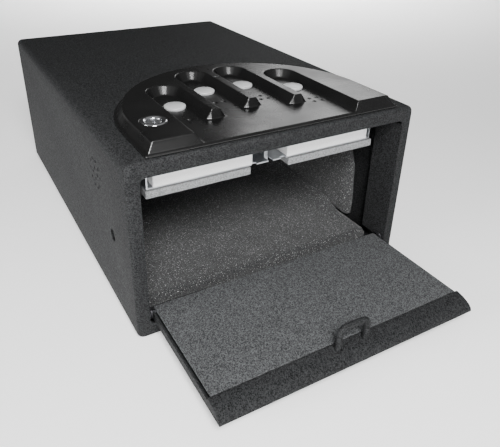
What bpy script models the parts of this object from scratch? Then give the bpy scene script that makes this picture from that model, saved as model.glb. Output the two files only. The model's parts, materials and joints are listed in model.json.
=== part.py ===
"""A small steel pistol safe: drop-down door, four finger buttons and an override key on top.

Units are metres. +X is the safe's right, -Y its front, +Z up. The origin is the centre of the bottom face.
The door is modelled lying open. Lengths called "depth" are measured back from the plane of the front frame.
"""

import math

import bmesh
import bpy
from mathutils import Matrix, Vector

MM = 0.001
GAP = 0.3 * MM

# Shell
WIDTH = 206 * MM
DEPTH = 305 * MM
HEIGHT = 120 * MM
WALL = 1.5 * MM
EDGE_RADIUS = 4.5 * MM
FRONT_RADIUS = 2.5 * MM
FRONT = -DEPTH / 2
INNER_X = WIDTH / 2 - WALL
CEILING = HEIGHT - WALL
OPENING_X = 94.6 * MM
OPENING_LOW = 9.6 * MM
OPENING_HIGH = 110.6 * MM
OPENING_RADIUS = 3.5 * MM
JAMB_DEPTH = 25 * MM
BOLT_HOLE_RADIUS = 3.25 * MM
BOLT_X = 70 * MM
BOLT_Y = 105 * MM

# Door, lying open
HINGE_DEPTH = 5.5 * MM
HINGE_HEIGHT = 13.5 * MM
PIN_RADIUS = 2.0 * MM
DOOR_X = 91.6 * MM
DOOR_SHEET = 1.2 * MM
DOOR_LOW = 10.0 * MM
DOOR_HIGH = 17.0 * MM
DOOR_FOLD = 74 * MM
DOOR_REACH = 86.6 * MM
DOOR_TAIL = 8.5 * MM
STRIKER_X = 10 * MM
STRIKER_RADIUS = 2.0 * MM
STRIKER_REACH = 77 * MM
STRIKER_TOP = 31 * MM
STRIKER_FOOT = 12.4 * MM

# Keypad
PAD_BASE = HEIGHT + GAP
PAD_RADIUS = 89.5 * MM
PAD_CENTRE = 42 * MM
PAD_FRONT = 2.5 * MM
PAD_FLANGE = 1.6 * MM
PAD_HEIGHT = 8 * MM
PAD_SLOPE = 5 * MM
FLOOR_HEIGHT = 2.0 * MM
CHANNEL_PITCH = 30.7 * MM
CHANNEL_LOW = 8.4 * MM
CHANNEL_HIGH = 12.5 * MM
CHANNEL_ENDS = (81 * MM, 103 * MM, 103 * MM, 81 * MM)
RIDGE_NOSES = (34 * MM, 41.5 * MM, 34 * MM)
BUTTON_DEPTHS = (64 * MM, 83.5 * MM, 83.5 * MM, 64 * MM)
BUTTON_RADIUS = 7.2 * MM
BUTTON_RISE = 1.6 * MM
BUTTON_TRAVEL = 1.0 * MM
BOARD_HIGH = 114.5 * MM
SWITCH_HEIGHT = 2.2 * MM
LED_RADIUS = 0.8 * MM
LED_DEPTH = 95 * MM

# Override lock
LOCK_X = -72 * MM
LOCK_DEPTH = 34 * MM
LOCK_RING = 8.1 * MM
LOCK_BARREL = 6.2 * MM
LOCK_LOW = 113 * MM
PLUG_RADIUS = 4.6 * MM
CAM_LOW = 110.7 * MM

# Electronics bay under the roof
TRAY_X = 84.5 * MM
TRAY_LOW = 91.8 * MM
TRAY_SHEET = 1.0 * MM
TRAY_FRONT = 20 * MM
TRAY_BACK = 150 * MM
HOLDER_FRONT = 18.6 * MM
HOLDER_IN = 13.2 * MM
HOLDER_OUT = 80.6 * MM
HOLDER_LENGTH = 57.5 * MM
HOLDER_HIGH = 109.9 * MM
CELL_RADIUS = 7.15 * MM
CELL_LENGTH = 50 * MM
CELLS = 4

# Latch
LATCH_X = -2.2 * MM
LATCH_PLATE = 2.8 * MM
LATCH_DEPTH = 40 * MM
LATCH_HEIGHT = 101 * MM
LATCH_SWING = math.radians(24)
LEVER = 9 * MM
WEB_X = 1.4 * MM
WEB_FRONT = 26 * MM
WEB_BACK = 49 * MM
WEB_LOW = 89.0 * MM
SOLENOID_FRONT = 52 * MM
SOLENOID_BACK = 80 * MM
PLUNGER_RADIUS = 4 * MM

# Foam and side fittings
FOAM_FLOOR = 8 * MM
FOAM_FRONT = 24 * MM
FOAM_SIDE = 7.5 * MM
CEILING_FOAM_LOW = 85.8 * MM
SPEAKER_DEPTH = 60.6 * MM
SPEAKER_HEIGHT = 89.4 * MM
JACK_DEPTH = 34.4 * MM
JACK_HEIGHT = 58 * MM


def clear_scene():
    for obj in list(bpy.data.objects):
        bpy.data.objects.remove(obj)


def make_material(name, colour, roughness, metallic=0.0):
    """A Principled material with one colour."""
    mat = bpy.data.materials.new(name)
    mat.use_nodes = True
    shader = mat.node_tree.nodes["Principled BSDF"]
    shader.inputs["Base Color"].default_value = (*colour, 1)
    shader.inputs["Roughness"].default_value = roughness
    shader.inputs["Metallic"].default_value = metallic
    return mat


def add_object(name, bm, mat=None, smooth=True):
    """Turns a bmesh into a named object with outward normals."""
    bmesh.ops.recalc_face_normals(bm, faces=bm.faces)
    mesh = bpy.data.meshes.new(name)
    bm.to_mesh(mesh)
    bm.free()
    if smooth:
        mesh.shade_smooth()
        mesh.set_sharp_from_angle(angle=math.radians(32))
    obj = bpy.data.objects.new(name, mesh)
    bpy.context.scene.collection.objects.link(obj)
    if mat:
        mesh.materials.append(mat)
    return obj


def loft(name, rings, mat=None, closed=False):
    """A closed body through rings that have equal point counts."""
    bm = bmesh.new()
    loops = [[bm.verts.new(p) for p in ring] for ring in rings]
    pairs = list(zip(loops, loops[1:]))
    if closed:
        pairs.append((loops[-1], loops[0]))
    count = len(rings[0])
    for low, high in pairs:
        for i in range(count):
            j = (i + 1) % count
            bm.faces.new((low[i], low[j], high[j], high[i]))
    if not closed:
        bm.faces.new(loops[0])
        bm.faces.new(loops[-1])
    return add_object(name, bm, mat)


def box(name, low, high, mat=None, bevel=0.0, segments=2):
    """A block between two corners, with its edges rounded by bevel."""
    bm = bmesh.new()
    size = Vector(high) - Vector(low)
    centre = (Vector(high) + Vector(low)) / 2
    bmesh.ops.create_cube(bm, size=1.0, matrix=Matrix.Translation(centre) @ Matrix.Diagonal((*size, 1)))
    if bevel:
        bmesh.ops.bevel(bm, geom=bm.edges, offset=bevel, segments=segments, affect="EDGES", profile=0.5)
    return add_object(name, bm, mat)


def turned(name, profile, centre, axis="Z", mat=None, steps=24):
    """A body turned from (radius, height) points that start and end on the axis."""
    turns = {
        "Z": Matrix(),
        "X": Matrix.Rotation(math.pi / 2, 4, "Y"),
        "Y": Matrix.Rotation(-math.pi / 2, 4, "X"),
    }
    turn = turns[axis]
    bm = bmesh.new()
    points = [bm.verts.new((radius, 0, height)) for radius, height in profile]
    edges = [bm.edges.new(pair) for pair in zip(points, points[1:])]
    bmesh.ops.spin(bm, geom=points + edges, axis=(0, 0, 1), cent=(0, 0, 0), steps=steps, angle=2 * math.pi)
    bmesh.ops.remove_doubles(bm, verts=bm.verts, dist=1e-6)
    bmesh.ops.transform(bm, matrix=Matrix.Translation(centre) @ turn, verts=bm.verts)
    return add_object(name, bm, mat)


def rod(name, start, end, radius, axis="Z", mat=None, steps=16):
    """A plain round rod along a world axis, from one height to another on that axis."""
    index = "XYZ".index(axis)
    length = end[index] - start[index]
    profile = [(0, 0), (radius, 0), (radius, length), (0, length)]
    return turned(name, profile, start, axis, mat, steps)


def helper(obj):
    """Marks a cutting or joining tool, which isn't part of the safe."""
    obj.hide_render = True
    obj.display_type = "WIRE"
    return obj


def boolean(obj, tool, operation):
    helper(tool)
    modifier = obj.modifiers.new(tool.name, "BOOLEAN")
    modifier.operation = operation
    modifier.object = tool
    modifier.solver = "EXACT"


def cut(obj, *tools):
    for tool in tools:
        boolean(obj, tool, "DIFFERENCE")


def weld(obj, *tools):
    for tool in tools:
        boolean(obj, tool, "UNION")


def set_origin(obj, place):
    """Moves the object's origin onto its joint's axis without moving the object."""
    obj.data.transform(Matrix.Translation(-Vector(place)))
    obj.location = place


def arc(centre, radius, first, last, steps):
    """Points on an arc, angles in degrees."""
    spread = [math.radians(first + (last - first) * i / steps) for i in range(steps + 1)]
    return [(centre[0] + radius * math.cos(a), centre[1] + radius * math.sin(a)) for a in spread]


def rounded_rectangle(x, low, high, radius, steps=4):
    """Outline in (x, z), symmetric in x."""
    points = arc((x - radius, high - radius), radius, 0, 90, steps)
    points += arc((radius - x, high - radius), radius, 90, 180, steps)
    points += arc((radius - x, low + radius), radius, 180, 270, steps)
    points += arc((x - radius, low + radius), radius, 270, 360, steps)
    return points


def at_depth(outline, depth):
    """Puts an (x, z) outline on the plane at this depth."""
    return [(x, FRONT + depth, z) for x, z in outline]


def across(outline, x):
    """Puts a (depth, z) outline on the plane at this x."""
    return [(x, FRONT + depth, z) for depth, z in outline]


def level(outline, z):
    """Puts an (x, depth) outline at this height."""
    return [(x, FRONT + depth, z) for x, depth in outline]


# ---------------------------------------------------------------- shell


def make_shell(paint):
    """The folded wrapper with its front flanges, side jambs and holes."""
    half = WIDTH / 2
    soft = FRONT_RADIUS
    rings = []
    for i in range(4):
        angle = math.radians(30 * i)
        shrink = soft * (1 - math.sin(angle))
        outline = rounded_rectangle(half - shrink, shrink, HEIGHT - shrink, EDGE_RADIUS)
        rings.append(at_depth(outline, soft * (1 - math.cos(angle))))
    rings.append(at_depth(rounded_rectangle(half, 0, HEIGHT, EDGE_RADIUS), DEPTH))
    shell = loft("body_shell", rings, paint)
    inner = rounded_rectangle(INNER_X, WALL, CEILING, EDGE_RADIUS - WALL)
    cut(shell, loft("cutter_cavity", [at_depth(inner, WALL), at_depth(inner, DEPTH + WALL)]))
    door_way = rounded_rectangle(OPENING_X, OPENING_LOW, OPENING_HIGH, OPENING_RADIUS)
    cut(shell, loft("cutter_doorway", [at_depth(door_way, -WALL), at_depth(door_way, 3 * WALL)]))
    for side in (-1, 1):
        near, far = sorted((side * OPENING_X, side * (OPENING_X + WALL)))
        low = (near, FRONT + WALL / 2, OPENING_LOW + OPENING_RADIUS)
        high = (far, FRONT + JAMB_DEPTH, OPENING_HIGH - OPENING_RADIUS)
        name = "left" if side < 0 else "right"
        weld(shell, box(f"tool_jamb_{name}", low, high))
        start = side * (OPENING_X - WALL)
        cut(shell, hinge_hole(f"cutter_jamb_pin_{name}", start, side * 3 * WALL, PIN_RADIUS + GAP))
    cut(shell, *speaker_holes(), *bolt_holes(), *top_holes())
    start = (-WIDTH / 2 - WALL, FRONT + JACK_DEPTH, JACK_HEIGHT)
    end = (-WIDTH / 2 + 3 * WALL, FRONT + JACK_DEPTH, JACK_HEIGHT)
    cut(shell, rod("cutter_jack", start, end, 4.2 * MM, "X"))
    return shell


def hinge_hole(name, x, length, radius):
    """A rod along X on the door's axis."""
    near, far = sorted((x, x + length))
    y = FRONT + HINGE_DEPTH
    return rod(name, (near, y, HINGE_HEIGHT), (far, y, HINGE_HEIGHT), radius, "X")


def speaker_holes():
    """Ten holes on a ring and four inside it, through the left wall."""
    tools = []
    for count, ring in ((10, 9.7 * MM), (4, 4.1 * MM)):
        for i in range(count):
            angle = 2 * math.pi * i / count
            y = FRONT + SPEAKER_DEPTH + ring * math.cos(angle)
            z = SPEAKER_HEIGHT + ring * math.sin(angle)
            start = (-WIDTH / 2 - WALL, y, z)
            end = (-WIDTH / 2 + 2 * WALL, y, z)
            tools.append(rod(f"cutter_speaker_{count}_{i + 1}", start, end, 1.2 * MM, "X", steps=10))
    return tools


def bolt_holes():
    """Four holes through the bottom for screws into a shelf or drawer."""
    tools = []
    for i, (x, y) in enumerate(((-1, -1), (1, -1), (1, 1), (-1, 1))):
        start = (x * BOLT_X, y * BOLT_Y, -WALL)
        end = (x * BOLT_X, y * BOLT_Y, 3 * WALL)
        tools.append(rod(f"cutter_bolt_{i + 1}", start, end, BOLT_HOLE_RADIUS))
    return tools


def top_holes():
    """Holes through the roof for the button stems, the lock barrel and the lights' leads."""
    tools = []
    places = [(x, depth, 2.4 * MM) for x, depth in zip(channel_lines(), BUTTON_DEPTHS)]
    places.append((LOCK_X, LOCK_DEPTH, LOCK_BARREL + 0.4 * MM))
    places.append((0, LED_DEPTH, 2.6 * MM))
    for i, (x, depth, radius) in enumerate(places):
        start = (x, FRONT + depth, CEILING - WALL)
        end = (x, FRONT + depth, HEIGHT + WALL)
        tools.append(rod(f"cutter_roof_{i + 1}", start, end, radius))
    return tools


def make_back_panel(paint):
    """The plate that closes the wrapper's back, set in flush."""
    outline = rounded_rectangle(INNER_X - GAP, WALL + GAP, CEILING - GAP, EDGE_RADIUS - WALL)
    return loft("back_panel", [at_depth(outline, DEPTH - WALL), at_depth(outline, DEPTH)], paint)


# ---------------------------------------------------------------- keypad


def channel_lines():
    """X of the four finger channels, left to right."""
    return [(i - 1.5) * CHANNEL_PITCH for i in range(4)]


def pad_outline(inset, steps=40):
    """Half-moon outline in (x, depth): straight front edge, straight ends, round back."""
    radius = PAD_RADIUS - inset
    points = arc((0, PAD_CENTRE), radius, 0, 180, steps)
    front = PAD_FRONT + inset * 0.75
    return points + [(-radius, front), (radius, front)]


def pad_rings():
    """Sections from the thin flange up the sloping wall to the rounded brim."""
    brim = 1.2 * MM
    rings = [level(pad_outline(0), PAD_BASE)]
    rings.append(level(pad_outline(0), PAD_BASE + PAD_FLANGE - 0.4 * MM))
    rings.append(level(pad_outline(0.4 * MM), PAD_BASE + PAD_FLANGE))
    rings.append(level(pad_outline(1.6 * MM), PAD_BASE + PAD_FLANGE))
    rings.append(level(pad_outline(PAD_SLOPE), PAD_BASE + PAD_HEIGHT - brim))
    for angle in (30, 60, 90):
        turn = math.radians(angle)
        inset = PAD_SLOPE + brim * (1 - math.cos(turn))
        rings.append(level(pad_outline(inset), PAD_BASE + PAD_HEIGHT - brim * (1 - math.sin(turn))))
    return rings


def channel_tool(index, x, end):
    """A finger channel: flat floor, sloping sides and a round back end, open to the front."""
    low, high = PAD_BASE + FLOOR_HEIGHT, PAD_BASE + PAD_HEIGHT + 2 * MM
    slope = (CHANNEL_HIGH - CHANNEL_LOW) / (PAD_HEIGHT - FLOOR_HEIGHT)
    rings = []
    for height in (low, high):
        half = CHANNEL_LOW + slope * (height - low)
        outline = arc((x, end), half, 0, 180, 12) + [(x - half, -2 * MM), (x + half, -2 * MM)]
        rings.append(level(outline, height))
    return loft(f"cutter_channel_{index}", rings)


def nose_tool(index, x, nose):
    """Clears the space in front of a ridge, leaving the ridge a slanting, chamfered nose."""
    rings = []
    for height, back in ((FLOOR_HEIGHT, 0), (PAD_HEIGHT + 2 * MM, 2 * MM)):
        half = CHANNEL_PITCH / 2
        flat = 3.2 * MM
        rear = nose + back
        outline = [(x - half, -2 * MM), (x + half, -2 * MM), (x + half, rear + 5 * MM)]
        outline += [(x + flat, rear), (x - flat, rear), (x - half, rear + 5 * MM)]
        rings.append(level(outline, PAD_BASE + height))
    return loft(f"cutter_nose_{index}", rings)


def make_bezel(plastic):
    """The moulded keypad housing: half-moon, with four finger channels and three ridges."""
    bezel = loft("keypad_bezel", pad_rings(), plastic)
    for i, (x, end) in enumerate(zip(channel_lines(), CHANNEL_ENDS)):
        cut(bezel, channel_tool(i + 1, x, end))
    for i, nose in enumerate(RIDGE_NOSES):
        cut(bezel, nose_tool(i + 1, (i - 1) * CHANNEL_PITCH, nose))
    for i, (x, depth) in enumerate(zip(channel_lines(), BUTTON_DEPTHS)):
        low = (x, FRONT + depth, PAD_BASE - MM)
        ledge = (x, FRONT + depth, PAD_BASE + 0.6 * MM)
        high = (x, FRONT + depth, PAD_BASE + PAD_HEIGHT)
        cut(bezel, rod(f"cutter_button_{i + 1}", ledge, high, BUTTON_RADIUS + GAP, steps=32))
        cut(bezel, rod(f"cutter_stem_{i + 1}", low, high, 2.4 * MM))
    cut(bezel, *light_tools())
    place = (LOCK_X, FRONT + LOCK_DEPTH, PAD_BASE - MM)
    seat = PAD_HEIGHT - 1.2 * MM
    profile = [(0, 0), (LOCK_BARREL + 0.4 * MM, 0), (LOCK_BARREL + 0.4 * MM, MM + seat)]
    profile += [(LOCK_RING + GAP, MM + seat), (LOCK_RING + GAP, PAD_HEIGHT + 2 * MM), (0, PAD_HEIGHT + 2 * MM)]
    cut(bezel, turned("cutter_lock_seat", profile, place, steps=32))
    cut(bezel, *finger_dots())
    return bezel


def light_tools():
    """Holes for the two indicator lights near the back of the middle ridge."""
    tools = []
    for side in (-1, 1):
        start = (side * 1.3 * MM, FRONT + LED_DEPTH, PAD_BASE - MM)
        end = (side * 1.3 * MM, FRONT + LED_DEPTH, PAD_BASE + PAD_HEIGHT + MM)
        name = "left" if side < 0 else "right"
        tools.append(rod(f"cutter_led_{name}", start, end, LED_RADIUS + 0.15 * MM, steps=12))
    return tools


def finger_dots():
    """Shallow round dimples at the channel mouths that number the fingers one to four."""
    step = 6.3 * MM
    groups = (
        (0, 40 * MM, ((0, 0),)),
        (1, 60 * MM, ((-0.5, 0), (0.5, 0))),
        (2, 56 * MM, ((0, 0.5), (-0.5, -0.5), (0.5, -0.5))),
        (3, 36 * MM, ((-0.5, 0.5), (0.5, 0.5), (-0.5, -0.5), (0.5, -0.5))),
    )
    tools = []
    for channel, depth, spots in groups:
        for i, (dx, dy) in enumerate(spots):
            x = channel_lines()[channel] + dx * step
            y = FRONT + depth + dy * step
            start = (x, y, PAD_BASE + FLOOR_HEIGHT - 0.5 * MM)
            end = (x, y, PAD_BASE + FLOOR_HEIGHT + MM)
            tools.append(rod(f"cutter_dot_{channel + 1}_{i + 1}", start, end, 1.2 * MM, steps=10))
    return tools


def make_buttons(plastic):
    """Four round caps, each with a stem that reaches its switch."""
    for i, (x, depth) in enumerate(zip(channel_lines(), BUTTON_DEPTHS)):
        base = BOARD_HIGH + SWITCH_HEIGHT + 0.3 * MM
        under = PAD_BASE + 0.6 * MM + BUTTON_TRAVEL + 0.1 * MM - base
        top = PAD_BASE + FLOOR_HEIGHT + BUTTON_RISE - base
        edge = 0.6 * MM
        profile = [(0, 0), (1.8 * MM, 0), (1.8 * MM, under), (BUTTON_RADIUS, under)]
        profile += [(BUTTON_RADIUS, top - edge), (BUTTON_RADIUS - 0.18 * MM, top - 0.18 * MM)]
        profile += [(BUTTON_RADIUS - edge, top), (0, top + 0.3 * MM)]
        turned(f"button_{i + 1}", profile, (x, FRONT + depth, base), mat=plastic, steps=32)


def make_lights(lens):
    for side, name in ((-1, "left"), (1, "right")):
        low = PAD_BASE + 1.0 * MM
        height = PAD_BASE + PAD_HEIGHT + 0.3 * MM - low
        profile = [(0, 0), (LED_RADIUS, 0), (LED_RADIUS, height - 0.4 * MM), (0, height)]
        place = (side * 1.3 * MM, FRONT + LED_DEPTH, low)
        turned(f"indicator_led_{name}", profile, place, mat=lens, steps=12)


def make_keypad_board(board, black):
    """The button board under the roof, with a push switch under each stem."""
    low = (-60 * MM, FRONT + 54 * MM, BOARD_HIGH - 1.6 * MM)
    high = (60 * MM, FRONT + 104 * MM, BOARD_HIGH)
    pcb = box("keypad_board", low, high, board)
    notch_low = (LATCH_X - 10 * MM, FRONT + 50 * MM, BOARD_HIGH - 3 * MM)
    notch_high = (LATCH_X + 10 * MM, FRONT + SOLENOID_BACK + 3 * MM, BOARD_HIGH + MM)
    cut(pcb, box("cutter_board_notch", notch_low, notch_high))
    half = 3 * MM
    for i, (x, depth) in enumerate(zip(channel_lines(), BUTTON_DEPTHS)):
        y = FRONT + depth
        low = (x - half, y - half, BOARD_HIGH + 0.05 * MM)
        high = (x + half, y + half, BOARD_HIGH + SWITCH_HEIGHT - BUTTON_TRAVEL)
        box(f"button_switch_{i + 1}", low, high, black, bevel=0.2 * MM, segments=1)


# ---------------------------------------------------------------- override lock


def make_lock(chrome, steel):
    """The cam lock: barrel with its face ring, plug with a keyway, cam and nut."""
    y = FRONT + LOCK_DEPTH
    seat = PAD_BASE + PAD_HEIGHT - 1.2 * MM
    top = seat + 1.6 * MM
    bore = PLUG_RADIUS + GAP
    profile = [(bore, LOCK_LOW), (LOCK_BARREL, LOCK_LOW), (LOCK_BARREL, seat + 0.1 * MM)]
    profile += [(LOCK_RING, seat + 0.1 * MM), (LOCK_RING, top - 0.5 * MM), (LOCK_RING - 0.7 * MM, top)]
    profile += [(bore + 1.2 * MM, top), (bore, top - 0.7 * MM)]
    ring_body("lock_body", profile, (LOCK_X, y, 0), chrome, 32)
    low = CAM_LOW + 1.5 * MM
    plug_top = top - 0.9 * MM
    profile = [(0, low), (2.2 * MM, low), (2.2 * MM, LOCK_LOW - 0.4 * MM), (PLUG_RADIUS, LOCK_LOW - 0.4 * MM)]
    profile += [(PLUG_RADIUS, plug_top - 0.3 * MM), (PLUG_RADIUS - 0.3 * MM, plug_top), (0, plug_top)]
    plug = turned("lock_plug", profile, (LOCK_X, y, 0), mat=steel, steps=32)
    slot_low = (LOCK_X - 0.7 * MM, y - 3.4 * MM, plug_top - 3 * MM)
    slot_high = (LOCK_X + 0.7 * MM, y + 3.4 * MM, plug_top + MM)
    cut(plug, box("cutter_keyway", slot_low, slot_high))
    set_origin(plug, (LOCK_X, y, plug_top))
    outline = arc((LOCK_X, LOCK_DEPTH), 4.2 * MM, 180, 360, 8)
    outline += arc((LOCK_X, LOCK_DEPTH + 11 * MM), 2.6 * MM, 0, 180, 6)
    cam = loft("lock_cam", [level(outline, CAM_LOW), level(outline, CAM_LOW + 1.2 * MM)], steel)
    set_origin(cam, (LOCK_X, y, CAM_LOW))
    low = (LOCK_X, y, CEILING - 2.6 * MM)
    high = (LOCK_X, y, CEILING - GAP)
    nut = rod("lock_nut", low, high, 9.2 * MM, mat=steel, steps=6)
    through = [(LOCK_X, y, z + step) for (_, _, z), step in ((low, -MM), (high, MM))]
    cut(nut, rod("cutter_nut_bore", *through, LOCK_BARREL + GAP, steps=32))


def ring_body(name, profile, centre, mat, steps):
    """A turned body that doesn't reach its axis."""
    rings = []
    for i in range(steps):
        angle = 2 * math.pi * i / steps
        x, y = math.cos(angle), math.sin(angle)
        ring = [(centre[0] + r * x, centre[1] + r * y, centre[2] + z) for r, z in profile]
        rings.append(ring)
    return loft(name, rings, mat, closed=True)


def make_override_link(steel):
    """The flat bar by which the key's cam frees the latch, above the left battery holder."""
    low = (-70 * MM, FRONT + 42 * MM, CAM_LOW + 1.5 * MM)
    high = (-14.8 * MM, FRONT + 48 * MM, CAM_LOW + 2.7 * MM)
    box("override_link", low, high, steel, bevel=0.3 * MM, segments=1)


# ---------------------------------------------------------------- electronics bay


def make_tray(zinc):
    """The folded sheet tray that hangs under the roof."""
    low = (-TRAY_X, FRONT + TRAY_FRONT, TRAY_LOW)
    high = (TRAY_X, FRONT + TRAY_BACK, TRAY_LOW + TRAY_SHEET)
    tray = box("electronics_tray", low, high, zinc)
    for side in (-1, 1):
        name = "left" if side < 0 else "right"
        near, far = sorted((side * TRAY_X, side * (TRAY_X - TRAY_SHEET)))
        low = (near, FRONT + TRAY_FRONT, TRAY_LOW + TRAY_SHEET / 2)
        weld(tray, box(f"tool_tray_wall_{name}", low, (far, FRONT + TRAY_BACK, CEILING - GAP)))
        near, far = sorted((side * (TRAY_X - TRAY_SHEET / 2), side * (TRAY_X + 9 * MM)))
        low = (near, FRONT + 40 * MM, CEILING - GAP - TRAY_SHEET)
        flange = box(f"tool_tray_flange_{name}", low, (far, FRONT + TRAY_BACK, CEILING - GAP))
        weld(tray, flange)
        for i, depth in enumerate((50 * MM, 140 * MM)):
            place = (side * (TRAY_X + 4.5 * MM), FRONT + depth, CEILING - 4 * MM)
            above = (place[0], place[1], CEILING + MM)
            cut(tray, rod(f"cutter_tray_hole_{name}_{i + 1}", place, above, 1.8 * MM, steps=12))
    for side in (-1, 1):
        near, far = sorted((side * HOLDER_IN, side * (HOLDER_IN - 4 * MM)))
        notch_low = (near, FRONT, TRAY_LOW - MM)
        notch_high = (far, FRONT + TRAY_FRONT + 2 * MM, TRAY_LOW + 2 * TRAY_SHEET)
        name = "left" if side < 0 else "right"
        cut(tray, box(f"cutter_tray_notch_{name}", notch_low, notch_high))
    slot = LATCH_PLATE / 2 + 0.4 * MM
    low = (WEB_X - slot, FRONT, TRAY_LOW - MM)
    high = (WEB_X + slot, FRONT + WEB_BACK + 0.5 * MM, TRAY_LOW + 2 * TRAY_SHEET)
    cut(tray, box("cutter_tray_slot", low, high))


def make_tray_screws(steel):
    number = 0
    for side in (-1, 1):
        for depth in (50 * MM, 140 * MM):
            number += 1
            top = CEILING - GAP - TRAY_SHEET
            profile = [(0, 0), (2.2 * MM, 0), (2.8 * MM, 0.6 * MM), (2.8 * MM, 1.6 * MM)]
            profile += [(1.4 * MM, 1.6 * MM)]
            profile += [(1.4 * MM, 2.8 * MM), (0, 2.8 * MM)]
            place = (side * (TRAY_X + 4.5 * MM), FRONT + depth, top - 1.8 * MM)
            turned(f"tray_screw_{number}", profile, place, mat=steel, steps=12)


def make_battery_holder(name, side, white):
    """An open-topped box for four penlight cells that lie side by side, pointing back."""
    near, far = sorted((side * HOLDER_IN, side * HOLDER_OUT))
    wall = 1.5 * MM
    floor = TRAY_LOW + TRAY_SHEET + GAP
    low = (near, FRONT + HOLDER_FRONT, floor)
    high = (far, FRONT + HOLDER_FRONT + HOLDER_LENGTH, HOLDER_HIGH)
    holder = box(name, low, high, white, bevel=0.5 * MM, segments=1)
    low = (near + wall, FRONT + HOLDER_FRONT + wall, floor + wall)
    high = (far - wall, FRONT + HOLDER_FRONT + HOLDER_LENGTH - wall, HOLDER_HIGH + MM)
    cut(holder, box(f"cutter_{name}", low, high))


def make_cells(name, side, sleeve):
    """Four cells, laid so that every second one points the other way."""
    width = HOLDER_OUT - HOLDER_IN
    z = TRAY_LOW + TRAY_SHEET + GAP + 1.8 * MM + CELL_RADIUS
    radius, length, nub = CELL_RADIUS, CELL_LENGTH, 2.7 * MM
    for i in range(CELLS):
        x = side * (HOLDER_IN + width / 2 + (i - 1.5) * (2 * CELL_RADIUS + 0.7 * MM))
        y = FRONT + HOLDER_FRONT + HOLDER_LENGTH / 2 - length / 2
        profile = [(0, 0), (radius, 0), (radius, length - MM), (nub, length - MM), (nub, length), (0, length)]
        if i % 2:
            profile = [(r, length - h) for r, h in reversed(profile)]
        turned(f"{name}_{i + 1}", profile, (x, y, z), "Y", sleeve, 20)


def make_control_board(board, black):
    low = (-70 * MM, FRONT + 90 * MM, TRAY_LOW + TRAY_SHEET + 3 * MM)
    high = (70 * MM, FRONT + 144 * MM, TRAY_LOW + TRAY_SHEET + 4.6 * MM)
    box("control_board", low, high, board)
    chip_low = (-14 * MM, FRONT + 108 * MM, high[2] + 0.05 * MM)
    chip_high = (6 * MM, FRONT + 128 * MM, high[2] + 3 * MM)
    box("control_chip", chip_low, chip_high, black, bevel=0.3 * MM, segments=1)
    for side, name in ((-1, "left"), (1, "right")):
        place = (side * 40 * MM, FRONT + 117 * MM, TRAY_LOW + TRAY_SHEET + GAP)
        top = (place[0], place[1], low[2] - GAP)
        rod(f"board_post_{name}", place, top, 3 * MM, mat=board)


# ---------------------------------------------------------------- latch


def turned_about_pivot(outline, angle):
    """Turns a (depth, z) outline about the latch pivot; a positive angle drops the nose."""
    c, s = math.cos(angle), math.sin(angle)
    return [(LATCH_DEPTH + y * c - z * s, LATCH_HEIGHT + y * s + z * c) for y, z in outline]


def make_latch_hook(steel):
    """The flat hook that drops in front of the striker bar, drawn latched and turned to its raised place."""
    hub = [(x * MM, z * MM) for x, z in ((-3.5, -4.5), (0, -5.5), (4.5, -3.5), (5.0, 2.0))]
    lever = LATCH_SWING / 2
    top = (-LEVER * math.sin(lever), LEVER * math.cos(lever))
    arm = arc(top, 3.0 * MM, 10, 170, 8)
    nose = [(-3.8, 4.5), (-14, 4.5), (-20.5, 3.0), (-22.2, -1.5), (-22.0, -5.8), (-20.8, -7.8), (-19.4, -7.8)]
    mouth = [(-19.4, -2.6), (-14.6, -2.6), (-14.6, -4.5)]
    outline = hub + arm + [(x * MM, z * MM) for x, z in nose + mouth]
    placed = turned_about_pivot(outline, -LATCH_SWING)
    low, high = LATCH_X - LATCH_PLATE / 2, LATCH_X + LATCH_PLATE / 2
    hook = loft("latch_hook", [across(placed, low), across(placed, high)], steel)
    pivot = (LATCH_X, FRONT + LATCH_DEPTH, LATCH_HEIGHT)
    set_origin(hook, pivot)
    cut(hook, latch_rod("cutter_hook_bore", LATCH_DEPTH, LATCH_HEIGHT, 4 * MM, 2.0 * MM + GAP))
    y, z = turned_about_pivot([top], -LATCH_SWING)[0]
    cut(hook, latch_rod("cutter_hook_eye", y, z, 4 * MM, 1.7 * MM))
    return y, z


def latch_rod(name, depth, z, half, radius, mat=None, steps=16):
    """A rod along X through the latch plate."""
    y = FRONT + depth
    return rod(name, (LATCH_X - half, y, z), (LATCH_X + half, y, z), radius, "X", mat, steps)


def make_latch_bracket(zinc):
    """The upright plate beside the hook, with a foot against the roof and a toe in front."""
    half = LATCH_PLATE / 2
    low = (WEB_X - half, FRONT + WEB_FRONT, WEB_LOW)
    bracket = box("latch_bracket", low, (WEB_X + half, FRONT + WEB_BACK, CEILING - GAP), zinc)
    column_back = FRONT + WEB_FRONT + 7 * MM
    recess_low = (WEB_X - 2 * half, column_back, LATCH_HEIGHT + 3.8 * MM)
    recess_high = (WEB_X + 2 * half, FRONT + WEB_BACK + MM, HEIGHT)
    cut(bracket, box("cutter_bracket_recess", recess_low, recess_high))
    foot_low = (WEB_X, FRONT + WEB_FRONT, CEILING - GAP - 1.5 * MM)
    foot_high = (WEB_X + 11 * MM, column_back, CEILING - GAP)
    weld(bracket, box("tool_latch_foot", foot_low, foot_high))
    cut(bracket, latch_rod("cutter_bracket_pin", LATCH_DEPTH, LATCH_HEIGHT, 8 * MM, 2.0 * MM + GAP))
    return bracket


def make_pivot_pin(steel):
    y = FRONT + LATCH_DEPTH
    start = LATCH_X - LATCH_PLATE / 2 - 2.2 * MM
    end = WEB_X + LATCH_PLATE / 2 + 1.8 * MM
    reach = end - start
    profile = [(0, 0), (3.4 * MM, 0), (3.4 * MM, 1.4 * MM), (2 * MM, 1.4 * MM), (2 * MM, reach), (0, reach)]
    turned("latch_pivot_pin", profile, (start, y, LATCH_HEIGHT), "X", steel, 16)


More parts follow.
